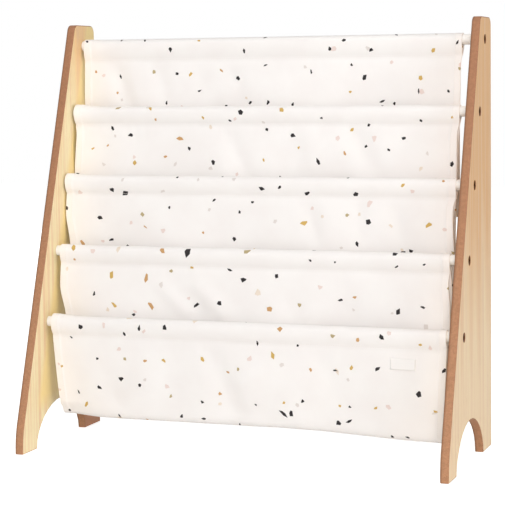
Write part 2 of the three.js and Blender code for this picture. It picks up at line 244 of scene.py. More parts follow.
# Painted shade: the lower rear corner of the inner face is painted brown, for the shade under the hanging
# cloth.
rear_corner = (left_high.x, left_high.y, left_low.z)
off_corner = add(tree, "ShaderNodeVectorMath", {0: place, 1: rear_corner}, operation="DISTANCE")
foot_shade_mask = add(tree, "ShaderNodeMapRange",
              {"Value": off_corner.outputs["Value"], "From Min": CORNER_FADE[0], "From Max": CORNER_FADE[1],
               "To Min": 1, "To Max": 0}, interpolation_type="SMOOTHSTEP")
foot_shade_mask = add(tree, "ShaderNodeMath", {0: foot_shade_mask, 1: inner_side}, operation="MULTIPLY")
with_foot = add(tree, "ShaderNodeMix", {0: foot_shade_mask, 6: with_rear, 7: FOOT_PAINTED_SHADE_BROWN}, data_type="RGBA")
print("the rods' line leans", round(math.degrees(math.atan(lean)), 1), "degrees")

# %% Veneer: pores
PORE_BROWN = linear("#D4A76F")
pored = add(tree, "ShaderNodeValToRGB", {"Fac": grain["pores"]}, [(0.56, BLACK), (0.74, (0.4, 0.4, 0.4, 1))])
face_colour = add(tree, "ShaderNodeMix", {0: pored, 6: with_foot, 7: PORE_BROWN}, data_type="RGBA")
print("veneer:", len(tree.nodes), "nodes")

# %% [markdown]
# ## Boards: the routed edges
# The edges show the bare fibreboard, cut with a router and left matt. It is pressed from brown wood
# fibres, so it has no grain, only fine specks and soft clouds. It is paler low down, and painted
# darker along its left side: painted shade, where the rounded arris turns away from the light. A
# second material on the edge faces would do as well, but one material can tell a face from an edge
# by which way the surface looks: the faces look along the rods.

# %% Fibreboard edge
FIBRE_HIGH, FIBRE_LOW = linear("#AD7856"), linear("#C58F68")
# The darker brown serves both the soft clouds and the painted shade along each edge's left side.
FIBRE_SPECK, FIBRE_CLOUD_AND_SHADE = linear("#A2704D"), linear("#7A5439")
FIBRE_SIZE, CLOUD_SIZE = 0.9 * MM, 4 * MM  # real fibres are finer, drawn coarser so as to show
PALE_BELOW = 500 * MM
right_low, right_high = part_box("right_side_panel")
board_middle = (right_low.x + right_high.x) / 2
specks = add(tree, "ShaderNodeTexNoise", {"Vector": place, "Scale": 1 / FIBRE_SIZE, "Detail": 3})
height = add(tree, "ShaderNodeMapRange", {"Value": axes.outputs["Z"], "From Max": PALE_BELOW})
fibre = add(tree, "ShaderNodeValToRGB", {"Fac": height}, [(0, FIBRE_LOW), (1, FIBRE_HIGH)])
specked = add(tree, "ShaderNodeMapRange",
              {"Value": specks, "From Min": 0.35, "From Max": 0.6, "To Min": 0.6, "To Max": 0})
core = add(tree, "ShaderNodeMix", {0: specked, 6: fibre, 7: FIBRE_SPECK}, data_type="RGBA")
clouds = add(tree, "ShaderNodeTexNoise", {"Vector": place, "Scale": 1 / CLOUD_SIZE, "Detail": 2})
clouded = add(tree, "ShaderNodeMapRange",
              {"Value": clouds, "From Min": 0.35, "From Max": 0.65, "To Max": 0.26})
core = add(tree, "ShaderNodeMix", {0: clouded, 6: core, 7: FIBRE_CLOUD_AND_SHADE}, data_type="RGBA")
middle = add(tree, "ShaderNodeMapRange", {"Value": is_right, "To Min": -board_middle, "To Max": board_middle})
off_middle = add(tree, "ShaderNodeMath", {0: axes.outputs["X"], 1: middle}, operation="SUBTRACT")
# Painted shade: the left side of each edge is painted darker, where the arris turns away from the light.
arris_painted_shade = add(tree, "ShaderNodeMapRange",
           {"Value": off_middle, "From Min": -0.3 * half_thick, "From Max": -half_thick, "To Max": 0.85},
           interpolation_type="SMOOTHSTEP")
edge_colour = add(tree, "ShaderNodeMix", {0: arris_painted_shade, 6: core, 7: FIBRE_CLOUD_AND_SHADE}, data_type="RGBA")
print("boards are", round(2 * half_thick / MM, 1), "mm thick")

# %% Faces and edges in one material
SIDEWAYS = 0.97  # how much of a face's direction has to lie along the rods
SATIN, MATT = 0.42, 0.68  # roughness of the lacquered faces and of the edges
looks = add(tree, "ShaderNodeSeparateXYZ", {0: add(tree, "ShaderNodeNewGeometry").outputs["True Normal"]})
sideways = add(tree, "ShaderNodeMath", {0: looks.outputs["X"]}, operation="ABSOLUTE")
is_face = add(tree, "ShaderNodeMath", {0: sideways, 1: SIDEWAYS}, operation="GREATER_THAN")
colour = add(tree, "ShaderNodeMix", {0: is_face, 6: edge_colour, 7: face_colour}, data_type="RGBA")
gloss = add(tree, "ShaderNodeMapRange", {"Value": is_face, "To Min": MATT, "To Max": SATIN})
relief = add(tree, "ShaderNodeMix", {0: is_face, 2: specks, 3: grain["pores"]}, data_type="FLOAT")
bump = add(tree, "ShaderNodeBump", {"Height": relief, "Strength": 0.25, "Distance": 0.08 * MM})
shader = add(tree, "ShaderNodeBsdfPrincipled",
             {"Base Color": colour, "Roughness": gloss, "Normal": bump, "IOR": 1.5})
add(tree, "ShaderNodeOutputMaterial", {"Surface": shader})
dress(["left_side_panel", "right_side_panel"], veneer)

# %% [markdown]
# ## Rods: powder-coated steel
# The rods are steel tube under white powder paint. Baked powder flows out almost smooth and
# leaves a faint orange peel, ripples about a millimetre and a half across, which soften the line
# of light along the rod. The ripples are too low to shape, so a bump draws them.

# %% Powder coat
PEEL_SIZE, PEEL_DEPTH = 1.5 * MM, 0.05 * MM
coat, tree = new_material("white_powder_coat")
place = add(tree, "ShaderNodeTexCoord").outputs["Object"]
peel = add(tree, "ShaderNodeTexNoise", {"Vector": place, "Scale": 1 / PEEL_SIZE, "Detail": 1})
colour = add(tree, "ShaderNodeValToRGB", {"Fac": peel},
             [(0.3, linear("#F1F0ED")), (0.7, linear("#F6F5F3"))])
bump = add(tree, "ShaderNodeBump", {"Height": peel, "Strength": 0.2, "Distance": PEEL_DEPTH})
shader = add(tree, "ShaderNodeBsdfPrincipled",
             {"Base Color": colour, "Roughness": 0.35, "Normal": bump, "IOR": 1.5})
add(tree, "ShaderNodeOutputMaterial", {"Surface": shader})
dress([f"rod_{i}" for i in range(1, 6)], coat)

# %% [markdown]
# ## Bolts and plugs: bronzed steel and zinc plate
# Furniture bolts like these are steel, tumbled and then bronzed, which leaves the domes brown and
# the sockets nearly black. The coat stays brown when it is seen at a low angle, so its edge tint
# is brown too. The plugs inside the rods are zinc plated and stay out of sight. Both are metals,
# so they keep Blender's own IOR, and noise breaks up the tone and the shine.

# %% Bronzed steel and zinc plate
BRONZE_WEAR, ZINC_GRAIN = 2.5 * MM, 1.2 * MM


def plated_metal(name, dark, light, edge, size, rough_low, rough_high):
    """A plated metal: two tones and two roughnesses, mixed by noise of one size."""
    made, tree = new_material(name)
    place = add(tree, "ShaderNodeTexCoord").outputs["Object"]
    cloud = add(tree, "ShaderNodeTexNoise", {"Vector": place, "Scale": 1 / size, "Detail": 4})
    colour = add(tree, "ShaderNodeValToRGB", {"Fac": cloud}, [(0.35, linear(dark)), (0.7, linear(light))])
    rough = add(tree, "ShaderNodeMapRange", {"Value": cloud, "To Min": rough_low, "To Max": rough_high})
    shader = add(tree, "ShaderNodeBsdfPrincipled",
                 {"Base Color": colour, "Roughness": rough, "Metallic": 1, "Specular Tint": linear(edge)})
    add(tree, "ShaderNodeOutputMaterial", {"Surface": shader})
    return made


bronze = plated_metal("antique_bronzed_steel", "#2C190A", "#4B2E13", "#E6BA86", BRONZE_WEAR, 0.4, 0.55)
zinc = plated_metal("zinc_plated_steel", "#A9ABAC", "#C4C6C6", "#FFFFFF", ZINC_GRAIN, 0.3, 0.45)
ENDS = [(side, i) for side in ("left", "right") for i in range(1, 6)]
dress([f"{side}_bolt_{i}" for side, i in ENDS], bronze)
dress([f"{side}_rod_plug_{i}" for side, i in ENDS], zinc)

# %% [markdown]
# ## Where the canvas runs
# The canvas is one strip, about 58 cm wide and 1.8 m long. It starts at the seam behind the top
# rod, goes over the rod and down its front to the seam below, hangs in a long loop, comes up
# behind the next rod, and so on. The last loop comes up in front of the lowest rod and ends
# behind it. The cloth is drawn as a line of points in side view for each of many places across,
# and the lines are joined into a sheet. A free drape would be the other way, but sleeves and
# seams hold the cloth exactly where they are sewn.

# %% Sizes of the canvas, in millimetres
RODS = []
for i in range(1, 6):
    low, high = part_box(f"rod_{i}")
    RODS.append(np.array([(low.y + high.y) / 2, (low.z + high.z) / 2]) / MM)
    rod_radius = (high.z - low.z) / 2 / MM
WIDTH = 582
CLOTH_THICK = 1.0        # two layers of canvas, sewn back to back
HEM_THICK = 1.5          # where the edge is turned in twice
HEM_WIDTH = 11
SLEEVE_RADIUS = rod_radius + 0.9
SEAM_DROPS = [22, 16.5, 17, 17, 17.5]     # from each rod's middle down to its seam
STANDS_OFF = [0.5, 3.5, 2.5, 0.5, 2.5]    # how far a sleeve's stiff left end stands off its rod
STIFF_END = 45           # how far in from the left edge that reaches
LAYER_APART = 1.5        # between the two runs of cloth at a seam
SEAM_AHEAD = 3.5         # the hanging pocket draws each seam forward of its rod's middle
POCKET_DROP = 139        # from the lower rod's middle to the pocket's bottom
FOLD_RADIUS = 11         # of the turn at a pocket's bottom
print("rods at", [tuple(r.round(1)) for r in RODS], "radius", round(rod_radius, 2))


# %% Lines in side view
def leave_round(centre, radius, point, turn):
    """The angle at which a straight run from a point leaves a round."""
    reach = point - centre
    return math.atan2(reach[1], reach[0]) + turn * math.acos(radius / np.hypot(*reach))


def straight(a, b, count):
    return [a + (b - a) * i / count for i in range(count + 1)]


def arc(centre, radius, start, end, count):
    angles = [start + (end - start) * i / count for i in range(count + 1)]
    return [centre + radius * np.array([math.cos(a), math.sin(a)]) for a in angles]


def bezier(points, count):
    a, b, c, d = (np.array(p, dtype=float) for p in points)
    steps = [i / count for i in range(count + 1)]
    return [a * (1 - t) ** 3 + 3 * b * t * (1 - t) ** 2 + 3 * c * t * t * (1 - t) + d * t ** 3 for t in steps]


print("lines: straight, arc and curve")


# %% A sleeve and a pocket in side view
SAG_RIGHT, SAG_SHARES = 8, (0.6, 1)  # the bottom sags at its right end, and lifts at its left end
LIFT_LEFT, LIFT_SHARES = 3, (0, 0.12)
BACK_STEPS, FRONT_STEPS, BOTTOM_STEPS = 36, 19, 8
SOFT_FOLD_PITCH, SOFT_FOLD_SHIFT_SHARE = 235, 0.37  # each pocket's are shifted by that share of the pitch
BACK_FOLD, FRONT_FOLD = 5, 4  # how deep the soft folds are on the two walls


def smooth_step(x, low, high):
    t = min(max((x - low) / (high - low), 0), 1)
    return t * t * (3 - 2 * t)


def sleeve(number, flat_x):
    """Over a rod, from the seam behind it to the one in front: curves in shares of radius and drop."""
    rod, drop, gap = RODS[number], SEAM_DROPS[number], LAYER_APART / 2
    r = SLEEVE_RADIUS + STANDS_OFF[number] * (1 - smooth_step(flat_x, 0, STIFF_END))
    front = bezier([(-r, 0), (-r, -0.4 * drop), (-0.85 * r, -0.7 * drop), (-SEAM_AHEAD - gap, -drop)], 7)
    rear = bezier([(r, 0), (r, -0.35 * drop), (0.4 * r, -0.65 * drop), (-SEAM_AHEAD + gap, -drop)], 7)
    over = arc(rod, r, 0, math.pi, 14)
    return [rod + p for p in rear[:0:-1]] + over + [rod + p for p in front[1:]]


def fold_share(flat_x, pocket):
    """How deep the soft vertical folds are here, from 0 to 1."""
    return (1 - math.cos(2 * math.pi * (flat_x / SOFT_FOLD_PITCH + SOFT_FOLD_SHIFT_SHARE * pocket))) / 2


def loop(pocket, flat_x):
    """Down the back wall, round the bottom and up the front wall: points, and their places from 0 to 1."""
    upper, lower = RODS[pocket], RODS[pocket + 1]
    last = pocket == len(RODS) - 2
    start = upper + (-SEAM_AHEAD - LAYER_APART / 2, -SEAM_DROPS[pocket])
    end = lower + (-SEAM_AHEAD + LAYER_APART * (-0.5 if last else 0.5), -SEAM_DROPS[pocket + 1])
    drop = POCKET_DROP + SAG_RIGHT * smooth_step(flat_x / WIDTH, *SAG_SHARES)
    drop -= LIFT_LEFT * (1 - smooth_step(flat_x / WIDTH, *LIFT_SHARES))
    centre = np.array([(start[0] + end[0]) / 2, lower[1] - drop + FOLD_RADIUS])
    leave = leave_round(centre, FOLD_RADIUS, start, -1)
    meet = leave_round(centre, FOLD_RADIUS, end, 1) - 2 * math.pi
    bottom = arc(centre, FOLD_RADIUS, leave, meet, BOTTOM_STEPS)
    back = straight(start, bottom[0], BACK_STEPS)[1:]
    front = straight(bottom[-1], end, FRONT_STEPS)[1:]
    deep = fold_share(flat_x, pocket)
    for wall, fold in ((back, -BACK_FOLD), (front, -FRONT_FOLD if last else FRONT_FOLD)):
        for i, p in enumerate(wall):
            p[0] += fold * deep * math.sin(math.pi * (i + 1) / len(wall)) ** 2
    points = back + bottom[1:] + front
    shares = [0.5 * (i + 1) / len(back) for i in range(len(back))] + [0.5] * (len(bottom) - 1)
    shares += [0.5 + 0.5 * (i + 1) / len(front) for i in range(len(front))]
    if not last:
        points, shares = points[:-1], shares[:-1]
    return points, shares


def strip(flat_x):
    """A line of points down the whole strip, and each one's place: 1.5 is the second pocket's bottom."""
    points, places = [], []
    for pocket in range(len(RODS) - 1):
        over = sleeve(pocket, flat_x)
        points += over
        places += [float(pocket)] * len(over)
        down, shares = loop(pocket, flat_x)
        points += down
        places += [pocket + s for s in shares]
    over = sleeve(len(RODS) - 1, flat_x)[::-1]
    return np.array(points + over[1:]), np.array(places + [len(RODS) - 1.0] * (len(over) - 1))


print("a pocket's line has", len(loop(0, 0)[0]), "points")


# %% [markdown]
# ## The edges of the strip
# The sides of the strip aren't straight. Each sleeve sits a little to one side on its rod, and the
# walls draw in below. Both edges are given by measured places along the strip, with a smooth line
# through them. A pair is a place on the strip and the edge's distance to the right of the shelf's
# middle, in millimetres.

# %% Edges, measured on the photograph
EDGE_SMOOTHING = 7
LEFT_EDGE = [(0, -297), (0.02, -296.6), (0.16, -298.4), (0.3, -296), (0.5, -292), (0.8, -294), (1, -298),
             (1.03, -296.3), (1.168, -300.2), (1.3, -296), (1.5, -293), (1.8, -295), (2, -298.8),
             (2.08, -300.4), (2.165, -294.5), (2.5, -289), (2.8, -291), (3, -294), (3.09, -296.1),
             (3.173, -288.6), (3.35, -286), (3.5, -284.2), (3.6, -286.6), (3.9, -291.5), (4, -293)]
RIGHT_EDGE = [(0, 282.5), (0.02, 280.2), (0.17, 280.2), (0.5, 279), (0.9, 283), (1, 286.3), (1.02, 282.3),
              (1.17, 281.8), (1.5, 280), (1.9, 284), (2, 288.9), (2.03, 283.9), (2.1, 284.4), (2.17, 286.2),
              (2.5, 286), (2.8, 289.5), (2.95, 289.5), (3, 288), (3.03, 284.8), (3.1, 288), (3.17, 288.5),
              (3.5, 285), (3.8, 289), (4, 291)]


def edge_line(measured, places, lengths):
    """Reads an edge off its measured places, then smooths it along the cloth."""
    rough = np.interp(places, *zip(*measured))
    result = np.empty_like(rough)
    for i, at in enumerate(lengths):
        weight = np.exp(-((lengths - at) / EDGE_SMOOTHING) ** 2)
        result[i] = (rough * weight).sum() / weight.sum()
    return result


print("edges:", len(LEFT_EDGE), "places on the left and", len(RIGHT_EDGE), "on the right")

# %% [markdown]
# ## The canvas as a grid
# The sheet is a grid of points: one line of points down the strip for each place across it. The
# places stand closer together at the hems, so that the step where the turned-in edge ends is a
# real step. flat_x and flat_y are where each line lies on the flat cloth, in millimetres. Where the
# edges stand closer or wider than the flat width, the cloth near them takes up the difference.

# %% Lay out the grid
STEP = 5
HEM_PLACES = [0, 0.5, 3, 6, 9, HEM_WIDTH - 0.25, HEM_WIDTH + 0.25]
INNER_FROM = HEM_WIDTH + 3
inner = np.linspace(INNER_FROM, WIDTH - INNER_FROM, round((WIDTH - 2 * HEM_WIDTH) / STEP))
flat_x = np.concatenate([HEM_PLACES, inner, WIDTH - np.array(HEM_PLACES[::-1])])
columns = [strip(x) for x in flat_x]
side = np.stack([c[0] for c in columns])
places = columns[0][1]
runs = np.hypot(*np.diff(side[len(flat_x) // 2], axis=0).T)
flat_y = np.concatenate([[0], np.cumsum(runs)])
left_edge, right_edge = (edge_line(e, places, flat_y) for e in (LEFT_EDGE, RIGHT_EDGE))
share = flat_x[:, None] / WIDTH
slack = (right_edge - left_edge) - WIDTH
x = (left_edge + right_edge) / 2 + (share - 0.5) * WIDTH - slack / 2 * ((1 - share) ** 3 - share ** 3)
grid = np.stack([x, side[:, :, 0], side[:, :, 1]], axis=2)
X, Y = np.meshgrid(flat_x, flat_y, indexing="ij")
print("canvas:", grid.shape[0], "by", grid.shape[1], "points,", round(flat_y[-1]), "mm long")

# %% [markdown]
# ## Folds
# Stiff canvas hangs in soft, shallow folds. Five kinds are laid over the side view: long slanting
# folds at places read off the photograph, gathers where the seams draw the cloth in, a slow
# waviness, a swell of a millimetre below each seam, and a falling back of the walls at their lower
# corners. Each is a small shift towards or away from the front. A cloth simulation could find such
# folds, but not in these places.

# %% Where the folds are
# Pocket, the run (0 back wall, 1 front wall), then from and to: flat x and distance below the seam,
# width, and depth, in millimetres.
FOLDS = [
    (0, 0, 50, 8, 82, 86, 15, 3.6), (0, 0, 120, 8, 144, 84, 13.75, 2.25),
    (0, 0, 176, 2, 214, 80, 15, 1.5), (0, 0, 232, 6, 268, 84, 15, 1.95),
    (0, 0, 398, 10, 372, 84, 20, -1.95), (0, 0, 560, 20, 536, 90, 20, 2.7),
    (1, 0, 238, 8, 282, 86, 13.75, 3), (1, 0, 330, 78, 300, 92, 17.5, 1.8),
    (1, 0, 362, 6, 372, 60, 13.75, -2.25), (1, 0, 428, 4, 478, 88, 16.25, 3.3),
    (1, 0, 60, 4, 90, 60, 18.75, -1.5), (2, 0, 372, 8, 388, 70, 12.5, 2.55),
    (2, 0, 446, 6, 452, 60, 12.5, 2.4), (2, 0, 494, 6, 512, 66, 13.75, 2.7),
    (2, 0, 120, 10, 170, 80, 25, -1.8), (2, 0, 250, 30, 226, 90, 20, 2.1),
    (3, 0, 156, 26, 200, 72, 12.5, -3), (3, 0, 214, 26, 262, 76, 13.75, -3),
    (3, 0, 352, 40, 360, 84, 17.5, 2.55), (3, 0, 420, 10, 446, 70, 17.5, 1.8),
    (3, 1, 236, 8, 290, 116, 16.25, 3), (3, 1, 398, 8, 440, 96, 15, 2.1),
    (3, 1, 150, 10, 120, 100, 27.5, -2.1), (3, 1, 66, 30, 98, 108, 17.5, 2.55),
    (3, 1, 520, 20, 540, 110, 20, 2.4), (3, 1, 330, 60, 350, 116, 20, -1.8),
    (0, 1, 140, 10, 170, 96, 17.5, 3), (0, 1, 420, 10, 380, 96, 17.5, 2.7),
    (1, 1, 90, 10, 120, 96, 16.25, 3), (1, 1, 300, 6, 330, 90, 17.5, 2.4),
    (2, 1, 210, 8, 180, 96, 16.25, 3), (2, 1, 470, 8, 500, 96, 17.5, 3),
]
print(len(FOLDS), "slanting folds")

# %% Distances on the cloth
on_wall = np.array([p % 1 for p in places])
seams = flat_y[on_wall == 0]
below_seam = np.array([np.abs(seams - y).min() if w > 0 else 0 for y, w in zip(flat_y, on_wall)])
free = np.sin(np.pi * on_wall) ** 0.5
pocket_of = np.where(on_wall > 0, np.floor(places), -1)
front_run = on_wall > 0.5
from_end = np.minimum(X, WIDTH - X)
print("seams at", seams.round().tolist(), "mm along the cloth")


# %% One slanting fold
SWELLS = 0.35  # height of the swells beside a valley, as a share of its depth
GROWS_IN, DIES_IN, CLEARS_SEAM_IN = 7, 9, 12


def slanting_fold(pocket, run, x_from, v_from, x_to, v_to, width, depth):
    """One soft valley along a line on a wall, with a low swell on both sides. It fades at its ends."""
    line = np.array([x_to - x_from, v_to - v_from])
    length = np.hypot(*line)
    line = line / length
    dx, dv = X - x_from, below_seam[None, :] - v_from
    along_it, across_it = dx * line[0] + dv * line[1], dx * line[1] - dv * line[0]
    profile = np.exp(-(across_it / width) ** 2) - SWELLS * np.exp(-(across_it / width / 2) ** 2)
    ends = 1 / (1 + np.exp(-along_it / GROWS_IN)) / (1 + np.exp((along_it - length) / DIES_IN))
    here = (pocket_of == pocket) & (front_run == bool(run))
    return depth * profile * ends * here[None, :] * np.minimum(1, below_seam / CLEARS_SEAM_IN)[None, :]


# %% Ripples
def ripples(rng, count, longest, shortest, upright):
    """A sum of seeded sine waves. upright runs from 0, in any direction, to 1, straight down the cloth."""
    total = np.zeros_like(X)
    for _ in range(count):
        length = shortest * (longest / shortest) ** rng.random()
        lean = (rng.random() - 0.5) * math.pi * (1 - upright)
        turns = (X * math.cos(lean) + Y * math.sin(lean)) / length
        total += np.sin(2 * math.pi * turns + rng.random() * 2 * math.pi)
    return total / math.sqrt(count)


# %% Lay the folds over the grid
SEED = 7
WAVINESS, WAVES = 0.6, (9, 170, 60, 0.55)  # depth in millimetres, and count, longest, shortest, upright
GATHERS, GATHER_WAVES = 0.4, (12, 22, 9, 0.9)
GATHERS_REACH, SWELL_REACH = 14, 45  # distances below a seam over which they die away
GATHERS_BEGIN, SWELL_BEGINS = 3, 4  # and over which they grow
CORNER_ACROSS, CORNER_DOWN = 55, 75  # size of the corners that fall back
CORNER_LEFT, CORNER_RIGHT = 4, 1.2  # how far they fall back
FRONT_CORNERS = -0.3  # the share of that on the front walls, which come forward
rng = np.random.default_rng(SEED)
gather = np.exp(-below_seam / GATHERS_REACH) * (1 - np.exp(-below_seam / GATHERS_BEGIN))
near_corner = np.exp(-(from_end / CORNER_ACROSS) ** 2) * np.clip(below_seam / CORNER_DOWN, 0, 1) ** 2 * free
back = sum(slanting_fold(*fold) for fold in FOLDS)
back += WAVINESS * ripples(rng, *WAVES) * free
back += GATHERS * ripples(rng, *GATHER_WAVES) * gather
falls = np.where(X < WIDTH / 2, CORNER_LEFT, CORNER_RIGHT) * np.where(front_run, FRONT_CORNERS, 1)
back += near_corner * falls
swell = (1 - np.exp(-below_seam / SWELL_BEGINS)) * np.exp(-below_seam / SWELL_REACH)
bulges = np.where(front_run & (pocket_of < len(RODS) - 2), 1, -1)  # hidden runs bulge to the rear
back += swell * bulges * (on_wall > 0)
grid[:, :, 1] += back
print("folds up to", round(float(np.abs(back).max()), 1), "mm deep")

# %% [markdown]
# ## The canvas mesh
# The flat place of every point, in metres, is kept as a UV map, so that print and weave keep their
# size however the cloth hangs. A Solidify modifier gives the thickness, more of it at the hems.

# %% Build the canvas
def quads(across, down):
    """The faces between the points of a grid."""
    return [(c * down + r, (c + 1) * down + r, (c + 1) * down + r + 1, c * down + r + 1)
            for c in range(across - 1) for r in range(down - 1)]


def cloth_mesh(name, points, flat_places, polygons):
    """A smooth piece from points in millimetres, with their flat places as its UV map."""
    made = bpy.data.meshes.new(name)
    made.from_pydata((points * MM).tolist(), [], polygons)
    corners = np.empty(len(made.loops), dtype=np.int32)
    made.loops.foreach_get("vertex_index", corners)
    flat_map = made.uv_layers.new(name="flat_cut")
    flat_map.uv.foreach_set("vector", (flat_places * MM)[corners].astype(np.float32).ravel())
    made.polygons.foreach_set("use_smooth", [True] * len(made.polygons))
    piece = bpy.data.objects.new(name, made)
    scene.collection.objects.link(piece)
    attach(piece, "root")
    return piece


flat_places = np.stack([X.ravel(), Y.ravel()], axis=1)
canvas = cloth_mesh("canvas_sling", grid.reshape(-1, 3), flat_places, quads(*X.shape))
hemmed = canvas.vertex_groups.new(name="hem")
in_hem = from_end.ravel() < HEM_WIDTH
hemmed.add(np.flatnonzero(in_hem).tolist(), 1, "REPLACE")
hemmed.add(np.flatnonzero(~in_hem).tolist(), CLOTH_THICK / HEM_THICK, "REPLACE")
body = canvas.modifiers.new("thickness", "SOLIDIFY")
body.thickness, body.offset, body.vertex_group = HEM_THICK * MM, 0, "hem"
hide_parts(*[f"sling_pocket_{i}" for i in range(1, 5)])
print("canvas mesh:", len(canvas.data.vertices), "points")

# %% [markdown]
# ## Printed cotton canvas
# The cloth is plain-woven cotton, undyed and washed to a warm white, and printed with scattered
# stone chips, the old terrazzo pattern. Cotton has no shine of its own: it is rough, with a soft
# bloom where light grazes the fibres. The print is drawn in millimetres on the flat cloth, so it
# bends with it. The chips could be flat pieces laid on the cloth, but ink has no thickness. Each
# chip stands in a cell of its own, and its outline is cut by five straight lines at jittered
# angles, which gives the sharp, uneven shards of broken stone.

# %% Chips in cells: where and how big
CHOICES = ("Cell", "Filled", "Smallest", "Largest", "Slimmest")
chips = bpy.data.node_groups.new("stone_chips", "ShaderNodeTree")
chips.interface.new_socket("Flat mm", in_out="INPUT", socket_type="NodeSocketVector")
for name in CHOICES:
    chips.interface.new_socket(name, in_out="INPUT", socket_type="NodeSocketFloat")
for name in ("Chip", "Choice"):
    chips.interface.new_socket(name, in_out="OUTPUT", socket_type="NodeSocketFloat")
given = add(chips, "NodeGroupInput").outputs
scale = add(chips, "ShaderNodeMath", {0: 1, 1: given["Cell"]}, operation="DIVIDE")
cells = add(chips, "ShaderNodeTexVoronoi", {"Vector": given["Flat mm"], "Scale": scale, "Randomness": 0.85},
            voronoi_dimensions="2D")
dice = add(chips, "ShaderNodeSeparateColor", {0: cells.outputs["Color"]}).outputs
again = add(chips, "ShaderNodeTexWhiteNoise", {"Vector": cells.outputs["Color"]}, noise_dimensions="3D")
more_dice = add(chips, "ShaderNodeSeparateColor", {0: again.outputs["Color"]}).outputs
away = add(chips, "ShaderNodeVectorMath", {0: given["Flat mm"], 1: cells.outputs["Position"]},
           operation="SUBTRACT")
turn = add(chips, "ShaderNodeMath", {0: dice[0], 1: 2 * math.pi}, operation="MULTIPLY")
turned = add(chips, "ShaderNodeVectorRotate", {"Vector": away, "Angle": turn}, rotation_type="Z_AXIS")
few_slim = add(chips, "ShaderNodeMath", {0: more_dice[0], 1: 1.5}, operation="POWER")
slim = add(chips, "ShaderNodeMath", {0: given["Slimmest"], 1: few_slim}, operation="POWER")
stretch = [add(chips, "ShaderNodeMath", {0: slim, 1: power}, operation="POWER") for power in (0.5, -0.5)]
shape = add(chips, "ShaderNodeCombineXYZ", dict(enumerate(stretch)))
local = add(chips, "ShaderNodeVectorMath", {0: turned, 1: shape}, operation="MULTIPLY")
few_big = add(chips, "ShaderNodeMath", {0: dice[1], 1: 2.2}, operation="POWER")
size = add(chips, "ShaderNodeMapRange",
           {"Value": few_big, "To Min": given["Smallest"], "To Max": given["Largest"]})
print("cells:", len(chips.nodes), "nodes")

# %% Chips in cells: outlines
SIDES = 5
TURNS_BY = 0.55  # each side turns by up to this, in radians, from its even place
NEAREST_SHARE = 0.55  # and lies between this share of the chip's size and all of it
reach = None
for number in range(SIDES):
    rolls = []  # two new dice for each side: the fractions of some multiple of the cell's own
    for die, times in ((again.outputs["Value"], 7.31 * (number + 1)), (more_dice[1], 5.77 * (number + 2))):
        roll = add(chips, "ShaderNodeMath", {0: die, 1: times}, operation="MULTIPLY")
        rolls.append(add(chips, "ShaderNodeMath", {0: roll}, operation="FRACT"))
    middle = 2 * math.pi * number / SIDES
    bearing = add(chips, "ShaderNodeMapRange",
                  {"Value": rolls[0], "To Min": middle - TURNS_BY, "To Max": middle + TURNS_BY})
    parts = [add(chips, "ShaderNodeMath", {0: bearing}, operation=part) for part in ("COSINE", "SINE")]
    outward = add(chips, "ShaderNodeCombineXYZ", dict(enumerate(parts)))
    off_centre = add(chips, "ShaderNodeVectorMath", {0: local, 1: outward}, operation="DOT_PRODUCT")
    cut_at = add(chips, "ShaderNodeMapRange", {"Value": rolls[1], "To Min": NEAREST_SHARE})
    limit = add(chips, "ShaderNodeMath", {0: size, 1: cut_at}, operation="MULTIPLY")
    cut = add(chips, "ShaderNodeMath", {0: off_centre.outputs["Value"], 1: limit}, operation="DIVIDE")
    reach = cut if reach is None else add(chips, "ShaderNodeMath", {0: reach, 1: cut}, operation="MAXIMUM")
inside = add(chips, "ShaderNodeMapRange", {"Value": reach, "From Min": 1.05, "From Max": 0.95})
there = add(chips, "ShaderNodeMath", {0: dice[2], 1: given["Filled"]}, operation="LESS_THAN")
chip = add(chips, "ShaderNodeMath", {0: inside, 1: there}, operation="MULTIPLY")
add(chips, "NodeGroupOutput", {0: chip, 1: more_dice[2]})
print("stone chips:", len(chips.nodes), "nodes")

# %% The print
CANVAS_WHITE, CANVAS_SHADE = linear("#F9F5F2"), linear("#F7F2EF")
CHARCOAL, OCHRE, TAN, KHAKI = linear("#363233"), linear("#D2AE62"), linear("#CC9F6C"), linear("#B9A77E")
BLUSH, STONE, SAND = linear("#ECDAD3"), linear("#E5DDD8"), linear("#ECDECE")
WASHED_PATCH = 45
LAYERS = [  # shift of the cells, cell, share filled, smallest, largest, slimmest, colours
    ((310, 170, 0), 50, 0.56, 2.6, 4.6, 1.6, [(0, BLUSH), (0.5, STONE), (0.82, SAND)]),
    ((0, 0, 0), 40, 0.87, 2.2, 4.6, 2.4, [(0, CHARCOAL), (0.65, OCHRE), (0.81, TAN), (0.93, KHAKI)]),
]
printed, tree = new_material("printed_cotton_canvas")
flat_metres = add(tree, "ShaderNodeUVMap", uv_map="flat_cut")
flat_mm = add(tree, "ShaderNodeVectorMath", {0: flat_metres, "Scale": 1 / MM}, operation="SCALE")
washed = add(tree, "ShaderNodeTexNoise", {"Vector": flat_mm, "Scale": 1 / WASHED_PATCH, "Detail": 3})
colour = add(tree, "ShaderNodeValToRGB", {"Fac": washed}, [(0.35, CANVAS_SHADE), (0.65, CANVAS_WHITE)])
for shift, *settings, colours in LAYERS:
    moved = add(tree, "ShaderNodeVectorMath", {0: flat_mm, 1: shift})
    layer = add(tree, "ShaderNodeGroup", {"Flat mm": moved, **dict(zip(CHOICES, settings))}, node_tree=chips)
    ink = add(tree, "ShaderNodeValToRGB", {"Fac": layer.outputs["Choice"]}, colours)
    ink.color_ramp.interpolation = "CONSTANT"
    colour = add(tree, "ShaderNodeMix", {0: layer.outputs["Chip"], 6: colour, 7: ink}, data_type="RGBA")
print("print:", len(LAYERS), "layers of chips")

